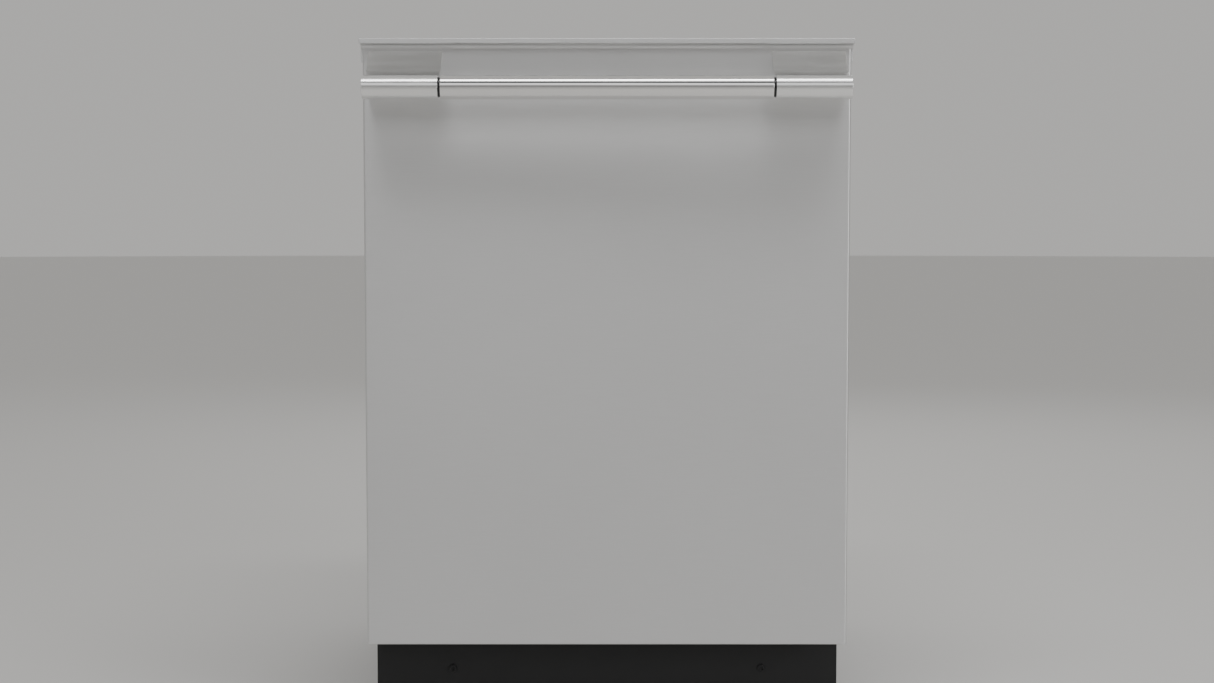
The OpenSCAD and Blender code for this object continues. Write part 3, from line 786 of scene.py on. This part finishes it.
# Sump, pumps, valve and waste pipe under the tub, moulded in polypropylene, and a plated steel
# box for the wiring. The waste pipe is rigid.

stand_in("sump", "sump_bowl", 1.5 * mm, grey_pp, "grey_plastic", "chassis")
pump = recast("circulation_pump", "wash_pump", 2.5 * mm, 3)
pump_low, pump_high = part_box("circulation_pump")
fins = [pump]
for step in range(14):
    x = pump_low.x + (20 + step * 9) * mm
    fins.append(rod("pump_fin", (x, pump_low.y + 50 * mm, pump_high.z - 50 * mm),
                    (x + 2.5 * mm, pump_low.y + 50 * mm, pump_high.z - 50 * mm), 40.2 * mm, 48))
fit(join("wash_pump", fins), dark_pp, "base_plastic", "chassis", "circulation_pump")
stand_in("drain_pump", "waste_pump", 2 * mm, dark_pp, "base_plastic", "chassis", segments=3)
stand_in("drain_hose", "waste_pipe", 0.5 * mm, grey_pp, "grey_plastic", "chassis")
stand_in("inlet_valve", "water_valve", 1.5 * mm, pale_pp, "pale_plastic", "chassis", segments=3)
stand_in("junction_box", "wiring_box", 0.5 * mm, zinc_plate, "zinc_steel", "chassis")

# Heating element: a ring of nickel alloy tube that lies over the tub floor. Its two tails go
# down through the floor, each in a hexagon nut.

# Incoloy sheath: dull straw grey, darkened in patches where it has been hot
incoloy = brushed("incoloy_sheathed", "#8E887C", 0.42, 20 * mm, 20 * mm, 0.02 * mm)
plate_low, plate_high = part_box("filter_plate")
sump_middle = (plate_low + plate_high) / 2
heater_parts = [recast("heating_element", "heater_ring", 0.3 * mm)]
for side in (-1, 1):
    nut_base = Vector((side * 53 * mm, sump_middle.y + 198 * mm, tub_low.z + 12 * mm))
    heater_parts.append(rod("heater_nut", nut_base, nut_base + Vector((0, 0, 5 * mm)), 9 * mm, 6))
    soften(heater_parts[-1], 0.6 * mm)
fit(join("heater_ring", heater_parts), incoloy, "zinc_steel", "chassis", "heating_element")

# Feed tube: a flat grey duct moulded in polypropylene. It rises at the back of the tub, feeds
# the upper rack through a docking cup and runs under the ceiling to the top spray arm.

stand_in("water_feed_tube", "feed_duct", 1.8 * mm, grey_pp, "grey_plastic", "chassis", segments=3)

# Spray arms: the lower one is pressed stainless and the other two are welded polypropylene.
# Each blade narrows to its tips, has a row of nozzles and turns on a dished hub.


def spray_arm(name, node, body, nozzles, material, finish):
    """A tapered hollow blade with a hub and nozzles, in the space of its CAD node"""
    low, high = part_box(node)
    middle = (low + high) / 2
    hub_r = (high.y - low.y) / 2
    tip = high.x - middle.x
    thick = high.z - low.z
    blade = cube(name, (low.x, middle.y - 20 * mm, low.z + 1.2 * mm),
                 (high.x, middle.y + 20 * mm, high.z - 1.6 * mm))
    choose(blade, lambda c, d: abs(d.x) > 0.9, "edges")
    bpy.ops.mesh.subdivide(number_cuts=12)
    done()
    for side in (-1, 1):
        for share, width in ((1.0, 0.55), (0.833, 0.68), (0.667, 0.82), (0.5, 0.93)):
            at = middle.x + side * tip * share
            choose(blade, lambda c, d: abs(c.x - at) < 1 * mm and abs(d.x) < 0.1, "edges")
            bpy.ops.transform.resize(value=(1, width, 1), center_override=middle)
            done()
    round_edges(blade, lambda c, d: abs(d.z) > 0.9 and abs(abs(c.x - middle.x) - tip) < 1 * mm, 8 * mm, 5)
    soften(blade, 3 * mm, 3, 50)
    parts = [blade]
    hub = rod("hub", (middle.x, middle.y, low.z), (middle.x, middle.y, high.z), hub_r, 64)
    choose(hub, lambda c, n: abs(n.z) > 0.9)
    bpy.ops.mesh.inset(thickness=4 * mm)
    bpy.ops.transform.shrink_fatten(value=-1.2 * mm)
    bpy.ops.mesh.inset(thickness=12 * mm)
    bpy.ops.transform.shrink_fatten(value=1.2 * mm)
    done()
    soften(hub, 0.8 * mm)
    parts.append(hub)
    for index in range(nozzles):
        for side in (-1, 1):
            x = middle.x + side * (hub_r + 12 * mm + index * (tip - hub_r - 24 * mm) / (nozzles - 1))
            y = middle.y + side * (5 * mm if index % 2 else -5 * mm)
            boss = rod("nozzle", (x, y, high.z - thick * 0.4), (x, y, high.z - 0.3 * mm), 4 * mm, 20)
            recess(boss, lambda c, n: n.z > 0.9, 1.6 * mm, (0, 0, -2 * mm))
            soften(boss, 0.4 * mm)
            parts.append(boss)
    fit(join(name, parts), material, finish, body, node)


spray_arm("lower_arm_blade", "lower_spray_arm", "lower_arm_body", 7, drawn_stainless, "tub_steel")
spray_arm("upper_arm_blade", "upper_spray_arm", "upper_arm_body", 7, grey_pp, "grey_plastic")
spray_arm("ceiling_arm_blade", "ceiling_spray_arm", "ceiling_arm_body", 3, grey_pp, "grey_plastic")

# Float: a pale dome on a stem. It lifts off the tub floor when the water is too high.

float_low, float_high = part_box("float_cap")
float_middle = (float_low + float_high) / 2
float_r = (float_high.x - float_low.x) / 2
dome = rod("float_dome", (float_middle.x, float_middle.y, float_high.z - 16 * mm),
           (float_middle.x, float_middle.y, float_high.z), float_r, 64)
round_edges(dome, lambda c, d: c.z > float_high.z - 1 * mm, 9 * mm, 8)
recess(dome, lambda c, n: n.z < -0.9, 1.5 * mm, (0, 0, 6 * mm))
bpy.ops.object.shade_smooth_by_angle(angle=math.radians(40))
stem = rod("float_stem", (float_middle.x, float_middle.y, float_low.z),
           (float_middle.x, float_middle.y, float_high.z - 9 * mm), 4 * mm, 24)
soften(stem, 0.6 * mm)
fit(join("float_dome", [dome, stem]), pale_pp, "pale_plastic", "float_body", "float_cap")

# Filters: a perforated stainless plate over the sump, and a fine filter cup that twists out
# of it by a cross-shaped handle.

# Perforated stainless: dull from the punch, with light scratches around the holes
punched_stainless = brushed("stainless_steel_punched", "#B0B0AD", 0.34, 4 * mm, 10 * mm, 0.02 * mm)
strainer = recast("filter_plate", "filter_strainer", 0.2 * mm)
hole_step = 12 * mm
hole_r = 2.6 * mm
count = 22
corner = sump_middle - Vector((1, 1, 0)) * hole_step * (count - 1) / 2
punch = rod("punch", corner - Vector((0, 0, 5 * mm)), corner + Vector((0, 0, 5 * mm)), hole_r, 8)
work(punch, "ARRAY", count=count, use_relative_offset=False, use_constant_offset=True,
     constant_offset_displace=(hole_step, 0, 0))
work(punch, "ARRAY", count=count, use_relative_offset=False, use_constant_offset=True,
     constant_offset_displace=(0, hole_step, 0))
cup_low, cup_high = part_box("filter_cylinder")
cup_middle = (cup_low + cup_high) / 2


def cell(centre):
    """The middle of the punched hole that a point belongs to"""
    column = round((centre.x - corner.x) / hole_step)
    row = round((centre.y - corner.y) / hole_step)
    return corner + Vector((column * hole_step, row * hole_step, 0))


def clear_of_rims(centre):
    """True where a hole has solid metal all round it"""
    place = cell(centre).xy
    return (22 * mm < (place - sump_middle.xy).length < 132 * mm
            and (place - cup_middle.xy).length > 47 * mm)


strip_faces(punch, lambda c, n: not clear_of_rims(c))
work(strainer, "BOOLEAN", operation="DIFFERENCE", object=punch, solver="EXACT")
bpy.data.objects.remove(punch)
bpy.ops.object.shade_smooth_by_angle(angle=math.radians(30))
fit(strainer, punched_stainless, "mesh_steel", "chassis", "filter_plate")

filter_parts = [recast("filter_cylinder", "fine_filter", 0.7 * mm)]
for ring in range(7):
    z = cup_low.z + (6 + ring * 8) * mm
    hoop = rod("filter_hoop", (cup_middle.x, cup_middle.y, z), (cup_middle.x, cup_middle.y, z + 2 * mm),
               38.25 * mm, 64)
    strip_faces(hoop, lambda c, n: abs(n.z) > 0.9)
    work(hoop, "SOLIDIFY", thickness=1.2 * mm, offset=-1)
    filter_parts.append(hoop)
fit(join("fine_filter", filter_parts), punched_stainless, "mesh_steel", "filter_body", "filter_cylinder")

# Rails and slides: stainless channels riveted to the tub's sides. The upper rack hangs on
# telescopic members that run in them on balls.

stand_in("rack_rails", "rail_channels", 0.3 * mm, drawn_stainless, "tub_steel", "chassis")
stand_in("upper_rack_slides", "slide_members", 0.8 * mm, drawn_stainless, "tub_steel", "slides_body")

# Racks: mild steel wire bent and spot welded, then dipped in grey nylon. U-shaped wires form
# each floor and its walls, and one or two stouter rims go round them.


def bent(name, start, legs, radius, bend=9 * mm, sides=8):
    """A wire of straight legs, each square to the one before, with a round bend between them"""
    here = Vector(start)
    legs = [Vector(leg) for leg in legs]
    bpy.ops.object.select_all(action="DESELECT")
    bpy.ops.mesh.primitive_circle_add(vertices=sides, radius=radius, location=here, fill_type="NGON",
                                      rotation=legs[0].to_track_quat("Z", "Y").to_euler())
    bpy.ops.object.mode_set(mode="EDIT")
    bpy.ops.mesh.select_mode(type="FACE")
    bpy.ops.mesh.select_all(action="SELECT")
    for index, leg in enumerate(legs):
        way = leg.normalized()
        ends = (index > 0) + (index < len(legs) - 1)
        step = leg - way * bend * ends
        bpy.ops.mesh.extrude_region_move(TRANSFORM_OT_translate={"value": step})
        here = here + step
        if index < len(legs) - 1:
            turn_to = legs[index + 1].normalized()
            centre = here + turn_to * bend
            bpy.ops.mesh.spin(steps=4, angle=-math.pi / 2, center=centre, axis=way.cross(turn_to))
            here = centre + way * bend
    bpy.ops.mesh.select_all(action="SELECT")
    bpy.ops.mesh.normals_make_consistent(inside=False)
    bpy.ops.object.mode_set(mode="OBJECT")
    bpy.ops.object.shade_smooth_by_angle(angle=math.radians(60))
    return settle(name)


def repeat(piece, count, step):
    """Repeats a wire along a step"""
    work(piece, "ARRAY", count=count, use_relative_offset=False, use_constant_offset=True,
         constant_offset_displace=step)
    return piece


def wire_basket(name, low, high, across, along, rims):
    """A basket of U-shaped wires both ways, with rims round it at the heights given"""
    r = 1.6 * mm
    rim_r = 2.2 * mm
    low = Vector(low) + Vector((rim_r, rim_r, r))
    high = Vector(high) - Vector((rim_r, rim_r, rim_r))
    wide, deep, tall = high - low
    step_y = (deep - 24 * mm) / (across - 1)
    step_x = (wide - 24 * mm) / (along - 1)
    level = 2 * r
    parts = [
        repeat(bent(name + "_cross_wires", (low.x, low.y + 12 * mm, high.z),
                    [(0, 0, -tall), (wide, 0, 0), (0, 0, tall)], r), across, (0, step_y, 0)),
        repeat(bent(name + "_long_wires", (low.x + 12 * mm, low.y, high.z),
                    [(0, 0, level - tall), (0, deep, 0), (0, 0, tall - level)], r), along, (step_x, 0, 0))]
    for z in rims:
        parts.append(bent(name + "_rim", ((low.x + high.x) / 2, low.y, z),
                          [(wide / 2, 0, 0), (0, deep, 0), (-wide, 0, 0), (0, -deep, 0),
                           (wide / 2, 0, 0)], rim_r, 12 * mm))
    return parts


def tine_row(name, y, z, x0, x1, count, tall, r=1.6 * mm):
    """A row of upright tines on a cross wire, with rounded tips"""
    tine = rod(name, (x0, y, z), (x0, y, z + tall), r, 8)
    round_edges(tine, lambda c, d: c.z > z + tall - 1 * mm, r * 0.7, 2)
    bpy.ops.object.shade_smooth_by_angle(angle=math.radians(60))
    repeat(tine, count, ((x1 - x0) / (count - 1), 0, 0))
    return [tine, rod(name + "_base", (x0 - 4 * mm, y, z), (x1 + 4 * mm, y, z), r, 8)]


# Nylon dip: satin mid grey with a slightly pebbled skin and softer, thicker welds
nylon = moulded("nylon_dipped_grey", "#7C8186", "#8F9499", 0.36, 1.6 * mm, 0.08 * mm)

plate_tines = 19
tine_half = 207 * mm
bracket_inner = 236 * mm
bracket_outer = 242 * mm
rack_low, rack_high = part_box("lower_rack")
floor_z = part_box("cutlery_basket")[0].z - 4.5 * mm
lower_half = rack_high.x - 20 * mm
lower_low = Vector((-lower_half, rack_low.y, floor_z))
lower_high = Vector((lower_half, rack_high.y, rack_high.z))
lower_parts = wire_basket("lower_rack_wire", lower_low, lower_high, 15, 14,
                          (lower_high.z - 2.2 * mm, lower_low.z + 64 * mm))
for row_y in (rack_low.y + 130 * mm, rack_low.y + 190 * mm):
    lower_parts += tine_row("fixed_tines", row_y, floor_z + 5 * mm, -tine_half, tine_half,
                            plate_tines, 62 * mm)
wheel_axes = []
for node in ("lower_rack_wheels_front", "lower_rack_wheels_rear"):
    low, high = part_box(node)
    wheel_axes.append((low + high) / 2)
for axis in wheel_axes:
    for side in (-1, 1):
        x0, x1 = sorted((side * bracket_inner, side * bracket_outer))
        bracket = cube("wheel_bracket", (x0, axis.y - 12 * mm, axis.z - 8 * mm),
                       (x1, axis.y + 12 * mm, floor_z))
        round_edges(bracket, lambda c, d: abs(d.x) > 0.9 and c.z < axis.z, 7 * mm, 6)
        soften(bracket, 0.6 * mm)
        axle = rod("wheel_axle", (side * bracket_outer, axis.y, axis.z),
                   (side * 260 * mm, axis.y, axis.z), 3 * mm, 24)
        soften(axle, 0.5 * mm)
        lower_parts += [bracket, axle]
fit(join("lower_rack_wire", lower_parts), nylon, "rack_coating", "lower_rack_body", "lower_rack")

fold_low, fold_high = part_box("folding_tines")
fold_y = (fold_low.y + fold_high.y) / 2
fold_z = fold_low.z + 2.5 * mm
fold_parts = tine_row("folding_tine_row", fold_y, fold_z, -tine_half, tine_half, plate_tines,
                      fold_high.z - fold_z)
fit(join("folding_tine_row", fold_parts), nylon, "rack_coating", "tines_body", "folding_tines")

upper_low, upper_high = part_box("upper_rack")
upper_half = upper_high.x - 7.4 * mm
upper_top = upper_low.z + 120 * mm
upper_parts = wire_basket("upper_rack_wire", (-upper_half, upper_low.y, upper_low.z),
                          (upper_half, upper_high.y, upper_top), 15, 15,
                          (upper_top - 2.2 * mm, upper_low.z + 44 * mm))
for row in range(3):
    upper_parts += tine_row("upper_tines", upper_low.y + (110 + row * 110) * mm, upper_low.z + 5 * mm,
                            -130 * mm, 130 * mm, 9, 56 * mm)
for side in (-1, 1):
    x0, x1 = sorted((side * 248.2 * mm, side * 255.2 * mm))
    runner = cube("upper_runner", (x0, upper_low.y + 18 * mm, upper_low.z + 56 * mm),
                  (x1, upper_high.y - 20 * mm, upper_low.z + 70 * mm))
    soften(runner, 1.5 * mm)
    upper_parts.append(runner)
fit(join("upper_rack_wire", upper_parts), nylon, "rack_coating", "upper_rack_body", "upper_rack")
stand_in("upper_rack_manifold", "rack_manifold", 1 * mm, grey_pp, "grey_plastic", "upper_rack_body")

third_low, third_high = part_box("third_rack")
third_half = third_high.x - 18 * mm
third_parts = wire_basket("third_rack_wire", (-third_half, third_low.y, third_low.z),
                          (third_half, third_high.y, third_low.z + 30 * mm), 24, 14,
                          (third_low.z + 27.8 * mm,))
for side in (-1, 1):
    x0, x1 = sorted((side * 250.2 * mm, side * 267.8 * mm))
    runner = cube("third_runner", (x0, third_low.y + 18 * mm, third_low.z + 21 * mm),
                  (x1, third_high.y - 20 * mm, third_high.z))
    soften(runner, 1.5 * mm)
    third_parts.append(runner)
fit(join("third_rack_wire", third_parts), nylon, "rack_coating", "third_rack_body", "third_rack")

# Cup shelves: a small wire grid each side that folds up on the upper rack's side rail.

for side, name in ((-1, "left"), (1, "right")):
    node = "cup_shelf_" + name
    shelf_low, shelf_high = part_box(node)
    shelf_z = (shelf_low.z + shelf_high.z) / 2
    pivot_x = side * 241.5 * mm
    edge_x = side * 145.8 * mm
    span = pivot_x - edge_x
    parts = [rod("shelf_pivot", (pivot_x, shelf_low.y, shelf_z),
                 (pivot_x, shelf_high.y, shelf_z), 2 * mm, 12),
             bent("shelf_edge", (pivot_x, shelf_low.y + 1.8 * mm, shelf_z),
                  [(-span, 0, 0), (0, shelf_high.y - shelf_low.y - 3.6 * mm, 0), (span, 0, 0)], 1.8 * mm)]
    fingers = rod("shelf_wires", (pivot_x, shelf_low.y + 20 * mm, shelf_z),
                  (edge_x, shelf_low.y + 20 * mm, shelf_z), 1.4 * mm, 8)
    parts.append(repeat(fingers, 13, (0, (shelf_high.y - shelf_low.y - 40 * mm) / 12, 0)))
    fit(join("cup_shelf_wire_" + name, parts), nylon, "rack_coating", "shelf_" + name + "_body", node)

# Wheels: moulded grey wheels with a tyre band, a thin web and six spokes. They turn on axles that
# are fixed to the lower rack and have its nylon coat.

wheel_inner = 246 * mm
wheel_outer = 258 * mm
for index, name in enumerate(("front", "rear")):
    node = "lower_rack_wheels_" + name
    axis = wheel_axes[index]
    wheel_r = (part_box(node)[1].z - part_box(node)[0].z) / 2
    parts = []
    for side in (-1, 1):
        wheel = rod("wheel", (side * wheel_inner, axis.y, axis.z),
                    (side * wheel_outer, axis.y, axis.z), wheel_r, 48)
        choose(wheel, lambda c, n: abs(n.x) > 0.9)
        bpy.ops.mesh.inset(thickness=3 * mm)
        bpy.ops.transform.shrink_fatten(value=-3.5 * mm)
        bpy.ops.mesh.inset(thickness=8.5 * mm)
        bpy.ops.transform.shrink_fatten(value=3.2 * mm)
        done()
        soften(wheel, 0.5 * mm)
        parts.append(wheel)
        for spoke in range(3):
            turn = math.radians(60 * spoke)
            arm = Vector((0, math.cos(turn), math.sin(turn))) * (wheel_r - 2.5 * mm)
            hub = Vector((side * 252 * mm, axis.y, axis.z))
            parts.append(rod("spoke", hub - arm, hub + arm, 4.4 * mm, 6))
    fit(join("wheels_" + name, parts), grey_pp, "grey_plastic", name + "_wheels_body", node)

# Cutlery basket: moulded grey polypropylene in three cells, with slotted walls.

basket = recast("cutlery_basket", "cutlery_holder", 0.5 * mm)
basket_low, basket_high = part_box("cutlery_basket")
slot = cube("slot", (basket_low.x + 9 * mm, basket_low.y - 5 * mm, basket_low.z + 12 * mm),
            (basket_low.x + 13.5 * mm, basket_high.y + 5 * mm, basket_low.z + 36 * mm))
repeat(slot, 7, (8.4 * mm, 0, 0))
repeat(slot, 3, ((basket_high.x - basket_low.x) / 3, 0, 0))
repeat(slot, 3, (0, 0, 34 * mm))
work(basket, "BOOLEAN", operation="DIFFERENCE", object=slot, solver="EXACT")
bpy.data.objects.remove(slot)
bpy.ops.object.shade_smooth_by_angle(angle=math.radians(30))
fit(basket, grey_pp, "grey_plastic", "basket_body", "cutlery_basket")
